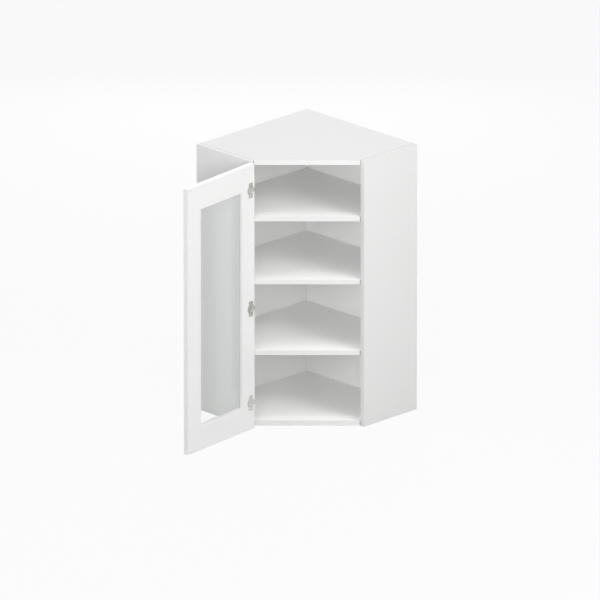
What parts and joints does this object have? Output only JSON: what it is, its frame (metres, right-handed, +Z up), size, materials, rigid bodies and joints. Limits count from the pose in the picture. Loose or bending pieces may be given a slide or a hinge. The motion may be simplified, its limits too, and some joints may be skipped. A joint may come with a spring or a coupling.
{
  "type": "corner wall cabinet",
  "caption": "Diagonal corner wall cabinet with shelves, a framed glass door on cup hinges, and hooks that hang it on two wall plates.",
  "frame": {"origin": "the corner of the room where the two walls meet, level with the cabinet's underside", "axes": "+Z up; one wall runs along +X at y = 0 and the other along -Y at x = 0; the diagonal front faces +X, -Y"},
  "size_m": [0.6, 1.002, 1.08],
  "materials": {
    "carcass_board": "light grey melamine-faced chipboard, fine pearl texture",
    "back_board": "light grey melamine-faced fibreboard",
    "white_lacquer": "satin white lacquer on fibreboard",
    "clear_glass": "clear toughened float glass",
    "seal": "soft grey seal",
    "soft_pad": "clear soft bumper pad",
    "nickel": "nickel-plated pressed steel",
    "plated_steel": "zinc-plated pressed steel",
    "zinc_screw": "zinc-plated screws",
    "zinc_casting": "die-cast zinc",
    "grey_plastic": "moulded plastic, fine texture",
    "beech": "plain beech dowel"
  },
  "bodies": {
    "carcass": {"top_panel": "carcass_board", "bottom_panel": "carcass_board", "right_side_panel": "carcass_board", "left_side_panel": "carcass_board", "right_back_panel": "back_board", "left_back_panel": "back_board", "back_corner_angle": "plated_steel", "back_corner_screws": "zinc_screw", "upper_shelf": "carcass_board", "middle_shelf": "carcass_board", "lower_shelf": "carcass_board", "upper_shelf_pins": "nickel", "middle_shelf_pins": "nickel", "lower_shelf_pins": "nickel", "upper_shelf_bracket": "plated_steel", "middle_shelf_bracket": "plated_steel", "lower_shelf_bracket": "plated_steel", "bracket_screws": "zinc_screw", "panel_locks": "zinc_casting", "panel_lock_bolts": "zinc_screw", "panel_lock_caps": "grey_plastic", "panel_dowels": "beech", "right_hanger_housing": "grey_plastic", "left_hanger_housing": "grey_plastic", "right_hanger_hook": "plated_steel", "left_hanger_hook": "plated_steel", "right_wall_plate": "plated_steel", "left_wall_plate": "plated_steel", "hanger_screws": "zinc_screw", "hanger_adjusters": "zinc_screw", "upper_hinge_arm": "nickel", "middle_hinge_arm": "nickel", "lower_hinge_arm": "nickel", "upper_hinge_plate": "nickel", "middle_hinge_plate": "nickel", "lower_hinge_plate": "nickel", "upper_hinge_pin": "nickel", "middle_hinge_pin": "nickel", "lower_hinge_pin": "nickel", "hinge_arm_screws": "zinc_screw", "hinge_plate_screws": "zinc_screw"},
    "door": {"hinge_stile": "white_lacquer", "free_stile": "white_lacquer", "top_rail": "white_lacquer", "bottom_rail": "white_lacquer", "glass_pane": "clear_glass", "glass_seal": "seal", "hinge_side_bead": "white_lacquer", "free_side_bead": "white_lacquer", "top_bead": "white_lacquer", "bottom_bead": "white_lacquer", "door_bumpers": "soft_pad", "upper_hinge_cup": "nickel", "middle_hinge_cup": "nickel", "lower_hinge_cup": "nickel", "hinge_cup_screws": "zinc_screw"}
  },
  "joints": [
    {"name": "door_hinge", "type": "hinge", "parent": "carcass", "child": "door", "pos_m": [0.29976, -0.59373, 0.54], "axis": [0, 0, -1], "range_deg": [-129, 0]}
  ]
}
